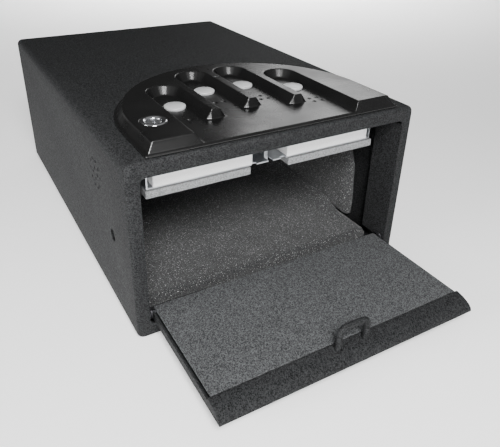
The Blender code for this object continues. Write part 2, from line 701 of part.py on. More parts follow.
def coil(name, centre, radius, pitch, mat, turns=1.5, wire=0.42 * MM, arm=3 * MM):
    """A wire spring wound about X, with a straight arm at each end."""
    steps = 14
    points = []
    for i in range(int(turns * steps) + 1):
        angle = math.pi / 2 + 2 * math.pi * i / steps
        x = centre[0] + pitch * i / steps
        points.append(Vector((x, centre[1] + radius * math.cos(angle), centre[2] + radius * math.sin(angle))))
    points.insert(0, points[0] + (points[0] - points[1]).normalized() * arm)
    points.append(points[-1] + (points[-1] - points[-2]).normalized() * arm)
    curve = bpy.data.curves.new(name, "CURVE")
    curve.dimensions = "3D"
    curve.bevel_depth = wire
    curve.bevel_resolution = 1
    curve.use_fill_caps = True
    spline = curve.splines.new("POLY")
    spline.points.add(len(points) - 1)
    for point, place in zip(spline.points, points):
        point.co = (*place, 1)
    obj = bpy.data.objects.new(name, curve)
    bpy.context.scene.collection.objects.link(obj)
    curve.materials.append(mat)


def make_solenoid(zinc, steel, eye):
    """The pull magnet behind the hook; its plunger's slotted end takes the hook's lever."""
    depth, z = eye
    half = 8 * MM
    low = (LATCH_X - half, FRONT + SOLENOID_FRONT, z - 7 * MM)
    high = (LATCH_X + half, FRONT + SOLENOID_BACK, z + 7 * MM)
    body = box("solenoid_body", low, high, zinc, bevel=1.0 * MM)
    bore_start = (LATCH_X, FRONT + SOLENOID_FRONT - MM, z)
    bore_end = (LATCH_X, FRONT + SOLENOID_BACK + MM, z)
    cut(body, rod("cutter_solenoid", bore_start, bore_end, PLUNGER_RADIUS + GAP, "Y", steps=20))
    start = (LATCH_X, FRONT + depth - 4 * MM, z)
    end = (LATCH_X, FRONT + SOLENOID_BACK - 3 * MM, z)
    plunger = rod("solenoid_plunger", start, end, PLUNGER_RADIUS, "Y", steel, 20)
    set_origin(plunger, (LATCH_X, FRONT + depth, z))
    slot = LATCH_PLATE / 2 + 0.5 * MM
    slot_low = (LATCH_X - slot, FRONT + depth - 6 * MM, z - 6 * MM)
    slot_high = (LATCH_X + slot, FRONT + depth + 6.4 * MM, z + 6 * MM)
    cut(plunger, box("cutter_plunger_slot", slot_low, slot_high))
    cut(plunger, latch_rod("cutter_plunger_pin", depth, z, 6 * MM, 1.0 * MM + GAP))
    latch_rod("plunger_pin", depth, z, 3.9 * MM, 1.0 * MM, steel, 12)


# ---------------------------------------------------------------- fittings and foam


def make_speaker(black):
    x = -INNER_X + GAP
    y = FRONT + SPEAKER_DEPTH
    profile = [(0, 1.2 * MM), (10.8 * MM, 1.2 * MM), (10.8 * MM, 0), (12.5 * MM, 0), (12.5 * MM, 4 * MM)]
    profile += [(8 * MM, 6.5 * MM), (0, 6.5 * MM)]
    turned("speaker", profile, (x, y, SPEAKER_HEIGHT), "X", black, 24)


def make_jack(black):
    """The socket for a mains adaptor, behind the round hole in the left wall."""
    x = -INNER_X + GAP
    place = (x, FRONT + JACK_DEPTH, JACK_HEIGHT)
    profile = [(0, 7 * MM), (2.8 * MM, 7 * MM), (2.8 * MM, 0), (6.2 * MM, 0), (6.2 * MM, 1.6 * MM)]
    profile += [(4.6 * MM, 1.6 * MM), (4.6 * MM, 9 * MM), (0, 9 * MM)]
    turned("power_jack", profile, place, "X", black, 20)


def make_foam(foam, pale):
    """Plain pads: one on the floor, one on each side wall and two under the tray."""
    back = FRONT + DEPTH - WALL - 0.5 * MM
    floor_top = WALL + GAP + FOAM_FLOOR
    inner = INNER_X - 0.5 * MM
    low = (-inner + 4 * MM, FRONT + FOAM_FRONT, WALL + GAP)
    box("floor_foam", low, (inner - 4 * MM, back, floor_top), foam, bevel=1.2 * MM)
    for side, name in ((-1, "left"), (1, "right")):
        near, far = sorted((side * inner, side * (inner - FOAM_SIDE)))
        low = (near, FRONT + 46 * MM, floor_top + 0.5 * MM)
        box(f"side_foam_{name}", low, (far, back, 72 * MM), foam, bevel=1.2 * MM)
        near, far = sorted((side * 14.6 * MM, side * 85.4 * MM))
        low = (near, FRONT + HOLDER_FRONT, CEILING_FOAM_LOW)
        high = (far, FRONT + TRAY_BACK, TRAY_LOW - GAP)
        box(f"ceiling_foam_{name}", low, high, pale, bevel=0.5 * MM, segments=1)


# ---------------------------------------------------------------- door


def lip_curve(inset, steps=8):
    """The bull-nosed front of the door, from the fold down to the underside, as (depth, z)."""
    reach = DOOR_REACH - DOOR_FOLD - inset
    drop = DOOR_HIGH - DOOR_LOW - 2 * inset
    points = []
    for i in range(steps + 1):
        turn = math.radians(18 + (90 - 18) * i / steps)
        flat = (math.sin(turn) - math.sin(math.radians(18))) / (1 - math.sin(math.radians(18)))
        fall = (math.cos(math.radians(18)) - math.cos(turn)) / math.cos(math.radians(18))
        points.append((-DOOR_FOLD - reach * flat, DOOR_HIGH - inset - drop * fall))
    return points


def make_door_skin(paint):
    """The outer door: a shallow pan with side flanges and a bull-nosed finger lip at its far edge."""
    rim = DOOR_HIGH - 1.6 * MM
    outline = [(DOOR_TAIL, DOOR_LOW), (DOOR_TAIL, rim), (-DOOR_FOLD + MM, rim), (-DOOR_FOLD + MM, DOOR_HIGH)]
    outline += lip_curve(0)
    skin = loft("door_skin", [across(outline, -DOOR_X), across(outline, DOOR_X)], paint)
    sheet = DOOR_SHEET
    inside = DOOR_X - sheet
    pan = [(DOOR_TAIL + MM, DOOR_LOW + sheet), (DOOR_TAIL + MM, DOOR_HIGH + MM)]
    pan += [(-DOOR_FOLD + MM, DOOR_HIGH + MM), (-DOOR_FOLD + MM, DOOR_HIGH - sheet)] + lip_curve(sheet)[1:]
    cut(skin, loft("cutter_door_pan", [across(pan, -inside), across(pan, inside)]))
    for side, name in ((-1, "left"), (1, "right")):
        start = side * (DOOR_X - 3 * MM)
        tool = hinge_hole(f"cutter_door_pin_{name}", start, side * 5 * MM, PIN_RADIUS + 0.35 * MM)
        cut(skin, tool)
        foot = (side * STRIKER_X, FRONT - STRIKER_REACH, STRIKER_FOOT)
        top = (side * STRIKER_X, FRONT - STRIKER_REACH, DOOR_HIGH + MM)
        cut(skin, rod(f"cutter_striker_{name}", foot, top, STRIKER_RADIUS + GAP))
    set_origin(skin, (0, FRONT + HINGE_DEPTH, HINGE_HEIGHT))
    return skin


def make_door_plate(paint):
    """The inner plate, set between the skin's flanges."""
    low = (-DOOR_X + 2.0 * MM, FRONT - DOOR_FOLD + 1.5 * MM, DOOR_HIGH - DOOR_SHEET)
    high = (DOOR_X - 2.0 * MM, FRONT + DOOR_TAIL - 1.5 * MM, DOOR_HIGH)
    plate = box("door_inner_plate", low, high, paint, bevel=0.3 * MM, segments=1)
    set_origin(plate, (0, FRONT + HINGE_DEPTH, HINGE_HEIGHT))


def make_striker(paint):
    """The staple on the door's inner face that the latch hook catches."""
    bend = 4 * MM
    path = [(-STRIKER_X, STRIKER_FOOT)]
    for x, first, last in ((bend - STRIKER_X, 180, 90), (STRIKER_X - bend, 90, 0)):
        turn = [(bend * math.cos(a), bend * math.sin(a)) for a in fan(first, last)]
        path += [(x + across, STRIKER_TOP - bend + rise) for across, rise in turn]
    path += [(STRIKER_X, STRIKER_FOOT)]
    y = FRONT - STRIKER_REACH
    rings = []
    for i, (x, z) in enumerate(path):
        before = path[max(i - 1, 0)]
        after = path[min(i + 1, len(path) - 1)]
        along = Vector((after[0] - before[0], 0, after[1] - before[1])).normalized()
        across_path = Vector((along.z, 0, -along.x))
        ring = []
        for k in range(12):
            a = 2 * math.pi * k / 12
            offset = across_path * math.cos(a) * STRIKER_RADIUS + Vector((0, math.sin(a) * STRIKER_RADIUS, 0))
            ring.append(Vector((x, y, z)) + offset)
        rings.append(ring)
    striker = loft("striker_loop", rings, paint)
    set_origin(striker, (0, FRONT + HINGE_DEPTH, HINGE_HEIGHT))


def fan(first, last, steps=4):
    """Angles in radians from first to last degrees."""
    return [math.radians(first + (last - first) * i / steps) for i in range(steps + 1)]


def make_hinges(steel):
    """A shouldered pin and a flat wire spring on each side of the door."""
    y = FRONT + HINGE_DEPTH
    for side, name in ((-1, "left"), (1, "right")):
        inner = DOOR_X - DOOR_SHEET - 1.6 * MM
        reach = OPENING_X + WALL + 1.6 * MM - inner
        profile = [(0, 0), (1.9 * MM, 0), (1.9 * MM, 1.2 * MM), (PIN_RADIUS, 1.3 * MM)]
        profile += [(PIN_RADIUS, reach), (0, reach)]
        if side < 0:
            profile = [(r, -h) for r, h in reversed(profile)]
        turned(f"hinge_pin_{name}", profile, (side * inner, y, HINGE_HEIGHT), "X", steel, 16)
        centre = (side * (DOOR_X + 0.8 * MM), y, HINGE_HEIGHT)
        coil(f"door_spring_{name}", centre, 3.2 * MM, side * 1.0 * MM, steel)


def build():
    clear_scene()
    paint = make_material("textured_black_paint", (0.035, 0.037, 0.041), 0.62)
    plastic = make_material("black_moulded_plastic", (0.02, 0.021, 0.024), 0.3)
    grey = make_material("pale_grey_plastic", (0.56, 0.57, 0.59), 0.4)
    chrome = make_material("chromed_metal", (0.62, 0.62, 0.64), 0.14, 1.0)
    steel = make_material("bright_steel", (0.5, 0.5, 0.51), 0.35, 1.0)
    zinc = make_material("zinc_plate", (0.62, 0.63, 0.65), 0.4, 1.0)
    white = make_material("white_plastic", (0.86, 0.87, 0.88), 0.45)
    board = make_material("circuit_board", (0.03, 0.15, 0.08), 0.5)
    black = make_material("black_component", (0.02, 0.02, 0.02), 0.5)
    sleeve = make_material("cell_sleeve", (0.12, 0.12, 0.14), 0.35)
    lens = make_material("clear_lens", (0.5, 0.52, 0.55), 0.2)
    foam = make_material("charcoal_foam", (0.03, 0.032, 0.035), 0.95)
    pale = make_material("grey_foam", (0.33, 0.34, 0.36), 0.95)

    make_shell(paint)
    make_back_panel(paint)
    make_bezel(plastic)
    make_buttons(grey)
    make_lights(lens)
    make_keypad_board(board, black)
    make_lock(chrome, steel)
    make_override_link(steel)
    make_tray(zinc)
    make_tray_screws(steel)
    for side, name in ((-1, "left"), (1, "right")):
        make_battery_holder(f"battery_holder_{name}", side, white)
        make_cells(f"battery_{name}", side, sleeve)
    make_control_board(board, black)
    eye = make_latch_hook(steel)
    make_latch_bracket(zinc)
    make_pivot_pin(steel)
    make_solenoid(zinc, steel, eye)
    make_speaker(black)
    make_jack(black)
    make_foam(foam, pale)
    make_door_skin(paint)
    make_door_plate(paint)
    make_striker(paint)
    make_hinges(steel)


build()
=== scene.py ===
"""Looks for the top-keypad safe.

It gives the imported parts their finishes, rounds the sheet edges, remoulds the keypad, lines the box
with foam, and sets up the floor, light and camera.
"""

import json
import math

import bmesh
import bpy
from mathutils import Matrix, Vector, noise


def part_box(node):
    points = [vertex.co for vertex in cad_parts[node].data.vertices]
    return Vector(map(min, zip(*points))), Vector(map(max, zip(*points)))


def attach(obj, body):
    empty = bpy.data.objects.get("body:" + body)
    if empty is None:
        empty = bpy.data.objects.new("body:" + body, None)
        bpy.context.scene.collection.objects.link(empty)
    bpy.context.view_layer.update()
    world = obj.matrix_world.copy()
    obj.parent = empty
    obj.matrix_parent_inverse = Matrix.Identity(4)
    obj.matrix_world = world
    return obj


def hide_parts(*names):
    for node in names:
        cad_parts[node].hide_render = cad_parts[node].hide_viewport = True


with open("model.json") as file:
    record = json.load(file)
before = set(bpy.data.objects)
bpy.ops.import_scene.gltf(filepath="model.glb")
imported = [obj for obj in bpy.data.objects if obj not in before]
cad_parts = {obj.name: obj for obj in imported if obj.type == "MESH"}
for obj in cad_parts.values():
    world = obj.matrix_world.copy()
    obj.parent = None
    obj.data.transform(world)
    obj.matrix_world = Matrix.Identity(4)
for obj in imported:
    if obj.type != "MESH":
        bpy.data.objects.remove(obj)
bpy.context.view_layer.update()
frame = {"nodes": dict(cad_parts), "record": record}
nodes = frame["nodes"]
bodies = frame["record"]["behaviour"]["bodies"]
body_of_node = {n: b for b, members in bodies.items() for n in members}
slot_of_node = {}

MM = 0.001
WHITE = (1, 1, 1, 1)
RANGE_SOCKETS = ("From Min", "From Max", "To Min", "To Max")


# ---------------------------------------------------------------- material tools


class Finish:
    """A Principled material, its colour and bump made by procedural textures in the piece's own space."""

    def __init__(self, name, roughness, metallic=0.0, specular=0.5):
        self.mat = bpy.data.materials.new(name)
        self.mat.use_nodes = True
        self.tree = self.mat.node_tree
        self.shader = self.tree.nodes["Principled BSDF"]
        self.shader.inputs["Roughness"].default_value = roughness
        self.shader.inputs["Metallic"].default_value = metallic
        self.shader.inputs["Specular IOR Level"].default_value = specular
        self.place = self.tree.nodes.new("ShaderNodeTexCoord").outputs["Object"]
        self.normal = None

    def socket(self, name, value):
        self.shader.inputs[name].default_value = value
        return self

    def stretched(self, scale):
        """The piece's coordinates, stretched for a brushed or drawn grain."""
        node = self.tree.nodes.new("ShaderNodeMapping")
        self.tree.links.new(self.place, node.inputs["Vector"])
        node.inputs["Scale"].default_value = scale
        return node.outputs["Vector"]

    def cloud(self, scale, detail=2.0, rough=0.5, place=None):
        """Noise, with scale features to the metre."""
        node = self.tree.nodes.new("ShaderNodeTexNoise")
        self.tree.links.new(place or self.place, node.inputs["Vector"])
        node.inputs["Scale"].default_value = scale
        node.inputs["Detail"].default_value = detail
        node.inputs["Roughness"].default_value = rough
        return node.outputs["Fac"]

    def voronoi(self, scale, output, feature="F1", place=None):
        node = self.tree.nodes.new("ShaderNodeTexVoronoi")
        node.feature = feature
        self.tree.links.new(place or self.place, node.inputs["Vector"])
        node.inputs["Scale"].default_value = scale
        return node.outputs[output]

    def cells(self, scale, feature="F1", place=None):
        """The distance from the middle of each grain in a packed bed, or by feature from its edge."""
        return self.voronoi(scale, "Distance", feature, place)

    def grains(self, scale):
        """A random value for each grain of the same bed."""
        return self.voronoi(scale, "Color")

    def spread(self, value, low, high, to_low=0.0, to_high=1.0):
        """value from low..high stretched to to_low..to_high."""
        node = self.tree.nodes.new("ShaderNodeMapRange")
        self.tree.links.new(value, node.inputs["Value"])
        for key, number in zip(RANGE_SOCKETS, (low, high, to_low, to_high)):
            node.inputs[key].default_value = number
        return node.outputs["Result"]

    def ramp(self, value, *stops):
        """value turned into a colour by stops, each of them (value, colour)."""
        node = self.tree.nodes.new("ShaderNodeValToRGB")
        self.tree.links.new(value, node.inputs["Fac"])
        ramp = node.color_ramp
        while len(ramp.elements) < len(stops):
            ramp.elements.new(0.5)
        for element, (at, colour) in zip(ramp.elements, stops):
            element.position = at
            element.color = (*colour, 1)
        return node.outputs["Color"]

    def mixed(self, first, second, amount, how="MIX"):
        """Two colours mixed by amount. Each may be a socket or a fixed value."""
        node = self.tree.nodes.new("ShaderNodeMix")
        node.data_type = "RGBA"
        node.blend_type = how
        # With colours, the node's factor is input 0 and its two colours are inputs 6 and 7.
        for key, value in ((6, first), (7, second), (0, amount)):
            if isinstance(value, tuple):
                node.inputs[key].default_value = (*value, 1)
            else:
                self.tree.links.new(value, node.inputs[key])
        return node.outputs[2]

    def colour(self, value):
        self.tree.links.new(value, self.shader.inputs["Base Color"])

    def rough(self, value):
        self.tree.links.new(value, self.shader.inputs["Roughness"])

    def bump(self, height, strength, distance):
        """Adds a bump on top of those already there."""
        node = self.tree.nodes.new("ShaderNodeBump")
        node.inputs["Strength"].default_value = strength
        node.inputs["Distance"].default_value = distance
        self.tree.links.new(height, node.inputs["Height"])
        if self.normal is not None:
            self.tree.links.new(self.normal, node.inputs["Normal"])
        self.normal = node.outputs["Normal"]
        self.tree.links.new(self.normal, self.shader.inputs["Normal"])


def grey(value, cool=0.0):
    return (value * (1 - cool), value, value * (1 + cool))


COAT_GRAINS = 1900
COAT_ROUGHNESS = 0.62


def powder_coat(name, dark, light):
    """Textured powder coat: a bed of fine pimples, each painted a random shade from dark to light; the
    light ones are painted glints standing in for light catching the pimples.
    """
    f = Finish(name, COAT_ROUGHNESS, specular=0.06)
    grain = f.grains(COAT_GRAINS)
    coarse = f.cloud(800, 1.0, 0.5)
    patch = f.cloud(14, 3.0, 0.6)
    # Painted glints: each pimple gets a random shade, and the light ones stand in for light catching its
    # top.
    glint_tone = f.ramp(grain, (0.22, grey(dark, 0.03)), (0.80, grey(light, 0.03)))
    f.colour(f.mixed(glint_tone, grey(0.86), f.spread(patch, 0.35, 0.7, 0.0, 0.25), "MULTIPLY"))
    f.rough(f.spread(coarse, 0.3, 0.7, COAT_ROUGHNESS - 0.07, COAT_ROUGHNESS + 0.08))
    f.bump(coarse, 0.45, 0.25 * MM)
    f.bump(f.cells(COAT_GRAINS), 0.5, 0.16 * MM)
    return f.mat


def moulded(name, base, roughness, specular=0.5, texture=2600, tint=0.0):
    """Injection-moulded plastic: a very fine spark-eroded skin with a slight unevenness in its gloss."""
    f = Finish(name, roughness, specular=specular)
    skin = f.cloud(texture, 2.0, 0.6)
    wide = f.cloud(35, 2.0, 0.5)
    f.colour(f.ramp(skin, (0.3, grey(base * 0.86, tint)), (0.7, grey(base * 1.12, tint))))
    f.rough(f.spread(wide, 0.3, 0.7, roughness - 0.05, roughness + 0.06))
    f.bump(skin, 0.16, 0.08 * MM)
    return f.mat


def plated(name, colour, roughness, brushed=None, blotch=0.0):
    """Plated or bare metal with blotches, and with drawn lines where brushed gives their direction."""
    f = Finish(name, roughness, metallic=1.0)
    wide = f.cloud(90, 3.0, 0.6)
    low = tuple(c * (1 - 0.35 * blotch) for c in colour)
    f.colour(f.ramp(wide, (0.32, low), (0.68, colour)))
    if brushed:
        lines = f.cloud(1.0, 3.0, 0.7, f.stretched(brushed))
        f.rough(f.spread(lines, 0.3, 0.7, roughness - 0.06, roughness + 0.1))
        f.bump(lines, 0.2, 0.06 * MM)
    else:
        f.rough(f.spread(wide, 0.3, 0.7, roughness - 0.03, roughness + 0.06))
        f.bump(f.cloud(1800, 2.0), 0.05, 0.05 * MM)
    return f.mat


def open_cell_foam(name, dark, light, glint_tone, rate):
    """Open-cell foam: painted shade in the pores between struts, and a painted glint fleck where the
    noise passes rate, for light catching the open cells.
    """
    f = Finish(name, 0.95, specular=0.2)
    f.socket("Sheen Weight", 0.12).socket("Sheen Roughness", 0.6)
    pores = f.cells(1100)
    fine = f.cloud(1700, 3.0, 0.7)
    base = f.ramp(fine, (0.34, grey(dark, 0.02)), (0.66, grey(light, 0.02)))
    # Painted shade: the colour darkens towards each cell's edge, standing in for shadow in the pores.
    base = f.mixed(base, grey(0.3), f.spread(pores, 0.3, 0.8, 0.0, 0.6), "MULTIPLY")
    # Painted glints: bright flecks standing in for light catching the open cells.
    painted_glints = f.ramp(f.cloud(1600, 1.0), (rate, grey(0.0)), (rate + 0.1, grey(1.0)))
    f.colour(f.mixed(base, grey(glint_tone), painted_glints))
    f.bump(pores, 0.35, 0.4 * MM)
    f.bump(fine, 0.8, 0.4 * MM)
    return f.mat


def circuit_board():
    """Green solder mask with paler tracks under a clear coat."""
    f = Finish("finish_circuit_board", 0.35)
    tracks = f.cells(260, "DISTANCE_TO_EDGE", f.stretched((1.0, 0.35, 1.0)))
    f.colour(f.ramp(tracks, (0.02, (0.03, 0.16, 0.07)), (0.06, (0.008, 0.06, 0.025))))
    f.bump(tracks, 0.3, 0.05 * MM)
    f.socket("Coat Weight", 0.3).socket("Coat Roughness", 0.2)
    return f.mat


def cell_sleeve():
    """A plain dark shrink sleeve with a lighter band round each end."""
    f = Finish("finish_cell_sleeve", 0.32)
    split = f.tree.nodes.new("ShaderNodeSeparateXYZ")
    f.tree.links.new(f.place, split.inputs["Vector"])
    low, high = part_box("battery_left_1")
    along = f.spread(split.outputs["Y"], low.y, high.y)
    sleeve, front_band, back_band = (0.03, 0.05, 0.09), (0.5, 0.5, 0.52), (0.42, 0.43, 0.45)
    f.colour(f.ramp(along, (0.0, front_band), (0.06, sleeve), (0.7, sleeve), (0.74, back_band)))
    f.bump(f.cloud(120, 2.0), 0.1, 0.2 * MM)
    return f.mat


def lens():
    """Smoked clear plastic, dark until the light behind it is on."""
    f = Finish("finish_clear_lens", 0.08)
    f.socket("Transmission Weight", 0.25).socket("IOR", 1.49).socket("Coat Weight", 0.6)
    f.colour(f.ramp(f.cloud(900), (0.3, (0.03, 0.032, 0.034)), (0.7, (0.06, 0.064, 0.066))))
    return f.mat


finishes = {
    "textured_black_paint": powder_coat("finish_textured_black", 0.006, 0.029),
    "black_moulded_plastic": moulded("finish_black_plastic", 0.004, 0.27),
    "pale_grey_plastic": moulded("finish_button_grey", 0.42, 0.38, texture=2200, tint=0.01),
    "chromed_metal": plated("finish_chrome", (0.72, 0.73, 0.75), 0.14),
    "bright_steel": plated("finish_bright_steel", (0.66, 0.67, 0.69), 0.3, (2500, 60, 2500)),
    "zinc_plate": plated("finish_zinc_plate", (0.55, 0.57, 0.59), 0.38, (70, 2200, 2200), 0.5),
    "white_plastic": moulded("finish_white_plastic", 0.86, 0.42, 0.45, 1800),
    "circuit_board": circuit_board(),
    "black_component": moulded("finish_black_component", 0.016, 0.5, 0.4, 2000),
    "cell_sleeve": cell_sleeve(),
    "clear_lens": lens(),
    "charcoal_foam": open_cell_foam("finish_charcoal_foam", 0.005, 0.062, 0.42, 0.64),
    "grey_foam": open_cell_foam("finish_grey_foam", 0.18, 0.36, 0.46, 0.70),
}
# Painted light: the same black powder coat made lighter so the door's upward-facing inner plate looks
# lit.
door_paint_painted_light = powder_coat("finish_textured_black_door_painted_light", 0.022, 0.092)
dark_steel = plated("finish_blackened_steel", (0.06, 0.06, 0.065), 0.45, blotch=0.6)


# ---------------------------------------------------------------- which finish each CAD node has

for material in frame["record"]["materials"]:
    for n in material.get("nodes", []):
        slot_of_node[n] = material["slot"]
for n, obj in nodes.items():
    slot = slot_of_node.get(n)
    if slot is None:
        cad_name = obj.data.materials[0].name
        slot = next(s for s in finishes if cad_name.startswith(s))
        slot_of_node[n] = slot
    obj.data.materials.clear()
    obj.data.materials.append(finishes[slot])


# ---------------------------------------------------------------- geometry tools


def new_piece(name, bm, node, smooth_below):
    """Makes the mesh a piece that stands for a CAD node, with its finish and body."""
    bmesh.ops.recalc_face_normals(bm, faces=bm.faces[:])
    mesh = bpy.data.meshes.new(name)
    bm.to_mesh(mesh)
    bm.free()
    mesh.shade_smooth()
    mesh.set_sharp_from_angle(angle=math.radians(smooth_below))
    obj = bpy.data.objects.new(name, mesh)
    bpy.context.scene.collection.objects.link(obj)
    slot = slot_of_node[node]
    mesh.materials.append(finishes[slot])
    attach(obj, body_of_node[node])
    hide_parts(node)
    return obj


WELD_DISTANCE = 0.002 * MM
FLAT_ANGLE = 0.6


def welded_copy(node):
    """The CAD node's mesh, its split corners joined and its flat faces whole again."""
    bm = bmesh.new()
    bm.from_mesh(nodes[node].data)
    bmesh.ops.remove_doubles(bm, verts=bm.verts[:], dist=WELD_DISTANCE)
    flat = math.radians(FLAT_ANGLE)
    bmesh.ops.dissolve_limit(bm, angle_limit=flat, verts=bm.verts[:], edges=bm.edges[:])
    bmesh.ops.recalc_face_normals(bm, faces=bm.faces[:])
    return bm


def apply_modifiers(obj):
    """Puts the result of every modifier into the piece's own mesh."""
    graph = bpy.context.evaluated_depsgraph_get()
    mesh = bpy.data.meshes.new_from_object(obj.evaluated_get(graph))
    obj.modifiers.clear()
    obj.data = mesh


def eased(node, width, angle=32.0):
    """A copy of a CAD node with every edge that turns by more than angle rounded off."""
    obj = new_piece(f"{node}_finished", welded_copy(node), node, 40)
    bevel = obj.modifiers.new("edges", "BEVEL")
    bevel.width = width
    bevel.segments = 2
    bevel.limit_method = "ANGLE"
    bevel.angle_limit = math.radians(angle)
    bevel.harden_normals = True
    apply_modifiers(obj)
    return obj


def remoulded(node, voxel, passes, keep):
    """A copy of a moulded CAD node with every edge and fillet melted to a small radius."""
    bm = welded_copy(node)
    bmesh.ops.triangulate(bm, faces=bm.faces[:])
    obj = new_piece(f"{node}_moulded", bm, node, 60)
    remesh = obj.modifiers.new("skin", "REMESH")
    remesh.mode = "VOXEL"
    remesh.voxel_size = voxel
    smooth = obj.modifiers.new("ease", "SMOOTH")
    smooth.factor = 0.5
    smooth.iterations = passes
    thin = obj.modifiers.new("thin", "DECIMATE")
    thin.ratio = keep
    apply_modifiers(obj)
    obj.data.shade_smooth()
    return obj


# How far a foam sheet sinks just inside its rim and at the cut itself, as shares of its edge radius.
RIM_DROP = 0.6
RIM_CUT = 0.85
# The broad swells and fine pits of its skin, to the metre, and a pit's depth as a share of a swell's.
SWELLS = 55
PITS = 420
PIT_SHARE = 0.45


def foam_height(a, b, size, axis, edge, relief):
    """How far the foam's skin stands above its glued face, a and b along the sheet."""
    rim = min(a, size[0] - a, b, size[1] - b)
    if rim <= 0:
        return size[2] - edge * RIM_CUT
    short = 1 - min(rim / edge, 1.0)
    height = size[2] - edge * RIM_DROP * (1 - math.sqrt(max(0.0, 1 - short * short)))
    calm = min(1.0, 0.25 + rim / (2 * edge))
    place = Vector((a, b, 7 * axis))
    height += calm * relief * noise.fractal(place * SWELLS, 1.0, 2.0, 3)
    height += calm * relief * PIT_SHARE * noise.noise(place * PITS)
    return min(height, size[2])


def foam_slab(name, node, axes, grid, edge, relief, edit=None):
    """A cut foam sheet that stands for a CAD pad.

    axes gives the world axes of its length, width and thickness, and which way the face points;
    grid is the spacing of its points, edge the radius to which its rim has sunk, and relief the
    height of its uneven skin. edit may move each point of the skin further.
    """
    low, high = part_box(node)
    (u, v, w), facing = axes
    size = [high[a] - low[a] for a in (u, v, w)]
    steps = [max(8, round(size[i] / grid)) for i in (0, 1)]
    glued = low[w] if facing > 0 else high[w]
    bm = bmesh.new()
    rows = []
    for i in range(steps[0] + 1):
        row = []
        for j in range(steps[1] + 1):
            a, b = i / steps[0] * size[0], j / steps[1] * size[1]
            point = Vector((0, 0, 0))
            point[u], point[v] = low[u] + a, low[v] + b
            point[w] = glued + facing * foam_height(a, b, size, w, edge, relief)
            if edit:
                edit(point, a / size[0], b / size[1])
            row.append(bm.verts.new(point))
        rows.append(row)
    for i in range(steps[0]):
        for j in range(steps[1]):
            bm.faces.new((rows[i][j], rows[i + 1][j], rows[i + 1][j + 1], rows[i][j + 1]))
    rim = rows[0] + [row[-1] for row in rows[1:]] + rows[-1][-2::-1] + [row[0] for row in rows[-2:0:-1]]
    foot = []
    for vert in rim:
        below = vert.co.copy()
        below[w] = glued
        foot.append(bm.verts.new(below))
    for i in range(len(rim)):
        k = (i + 1) % len(rim)
        bm.faces.new((rim[i], rim[k], foot[k], foot[i]))
    bm.faces.new(foot)
    return new_piece(name, bm, node, 70)


# ---------------------------------------------------------------- case and door

eased("body_shell", 0.45 * MM)
eased("back_panel", 0.4 * MM)
eased("door_skin", 0.4 * MM, 20)
plate = eased("door_inner_plate", 0.35 * MM)
# The inner plate takes the lighter copy of the black paint, painted light.
plate.data.materials[0] = door_paint_painted_light
for n in ("hinge_pin_left", "hinge_pin_right", "door_spring_left", "door_spring_right"):
    nodes[n].data.materials[0] = dark_steel
eased("striker_loop", 0.3 * MM, 50)


# ---------------------------------------------------------------- keypad

BUTTONS = ("button_1", "button_2", "button_3", "button_4")
# SEAT_FLOOR is the height of a seat's floor above the housing's foot. The others are distances out from
# a button's side: of the floor's edge, of the seat's wall, and of the furthest point looked at.
SEAT_FLOOR = 0.3 * MM
SEAT_INSIDE = 0.3 * MM
SEAT_WALL = 0.45 * MM
SEAT_REACH = 0.9 * MM


def open_seats(bezel):
    """Keeps each button's seat as deep and wide as the pressed button needs, under its cap."""
    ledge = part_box("keypad_bezel")[0].z + SEAT_FLOOR
    for button in BUTTONS:
        low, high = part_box(button)
        middle, radius = (low + high) / 2, (high.x - low.x) / 2
        for vert in bezel.data.vertices:
            out = Vector((vert.co.x - middle.x, vert.co.y - middle.y, 0))
            if out.length > radius + SEAT_REACH or vert.co.z < ledge:
                continue
            if out.length < radius + SEAT_INSIDE:
                vert.co.z = ledge
            elif out.length < radius + SEAT_WALL:
                vert.co += out * ((radius + SEAT_WALL) / out.length - 1)


open_seats(remoulded("keypad_bezel", voxel=0.45 * MM, passes=5, keep=0.38))
for n in BUTTONS:
    eased(n, 0.25 * MM)
eased("lock_body", 0.25 * MM, 25)
eased("lock_plug", 0.2 * MM, 25)


# ---------------------------------------------------------------- electronics

for n in ("electronics_tray", "latch_bracket", "latch_hook", "override_link"):
    eased(n, 0.15 * MM)
for n in ("battery_holder_left", "battery_holder_right"):
    eased(n, 0.3 * MM)


# ---------------------------------------------------------------- foam lining

X, Y, Z = 0, 1, 2

COVE_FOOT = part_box("side_foam_right")[0].x - 0.3 * MM
COVE_WIDTH = 22 * MM
COVE_RISE = 10 * MM
COVE_START = 0.08
COVE_GROWTH = 12
FRONT_FADE = 8
LEAN, LEAN_FROM = 6 * MM, 0.35
CURL, CURL_FROM = 13 * MM, 0.72
LEAN_FADE = 2.2


def wave(height, *place):
    """A smooth random rise or fall of up to height, the same on every run."""
    return height * noise.noise(Vector(place))


def floor_edit(point, a, b):
    """The cut front edge wanders, and the sheet rises softly where it meets the walls.

    Here and in side_edit, a and b run from 0 to 1 along the sheet's length and width.
    """
    inward = COVE_FOOT - abs(point.x)
    if 0 <= inward < COVE_WIDTH and b > COVE_START:
        growth = min(1.0, (b - COVE_START) * COVE_GROWTH)
        point.z += COVE_RISE * (1 - inward / COVE_WIDTH) ** 2 * growth
    wander = wave(0.9 * MM, point.x * 22, 3.1, 0) + wave(0.4 * MM, point.x * 90, 8, 0)
    point.y += wander * max(0.0, 1 - b * FRONT_FADE)


